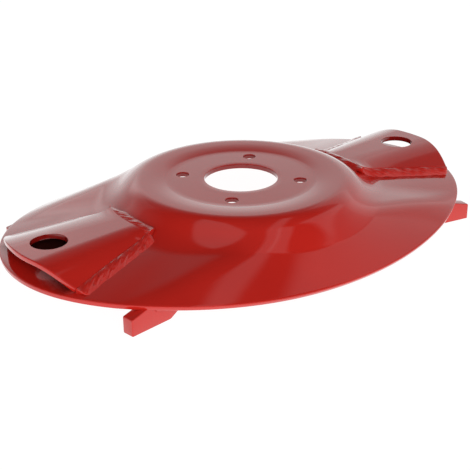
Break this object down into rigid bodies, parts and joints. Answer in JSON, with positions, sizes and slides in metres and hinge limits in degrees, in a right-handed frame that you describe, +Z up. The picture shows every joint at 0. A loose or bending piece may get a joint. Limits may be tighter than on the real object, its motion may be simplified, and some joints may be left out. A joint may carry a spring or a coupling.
{
  "type": "mower disc",
  "caption": "Oval dished cutting disc of a disc mower with a raised ring round the hub seat, arched blade housings welded on at the ends and bars welded on below.",
  "frame": {"origin": "on the axis of the centre bore, at the underside of the flat hub seat", "axes": "+X along the disc's long axis through both blade housings, +Z up along the bore, away from the drive hub"},
  "size_m": [0.509, 0.3478, 0.0602],
  "materials": {
    "red_paint": "glossy"
  },
  "bodies": {
    "root": {"disc_plate": "red_paint", "blade_housing_right": "red_paint", "housing_bead_front_right": "red_paint", "housing_bead_back_right": "red_paint", "housing_bead_inner_right": "red_paint", "bar_front_right": "red_paint", "bar_bead_front_outer_right": "red_paint", "bar_bead_front_inner_right": "red_paint", "bar_back_right": "red_paint", "bar_bead_back_outer_right": "red_paint", "bar_bead_back_inner_right": "red_paint", "blade_housing_left": "red_paint", "housing_bead_front_left": "red_paint", "housing_bead_back_left": "red_paint", "housing_bead_inner_left": "red_paint", "bar_front_left": "red_paint", "bar_bead_front_outer_left": "red_paint", "bar_bead_front_inner_left": "red_paint", "bar_back_left": "red_paint", "bar_bead_back_outer_left": "red_paint", "bar_bead_back_inner_left": "red_paint"}
  },
  "joints": []
}
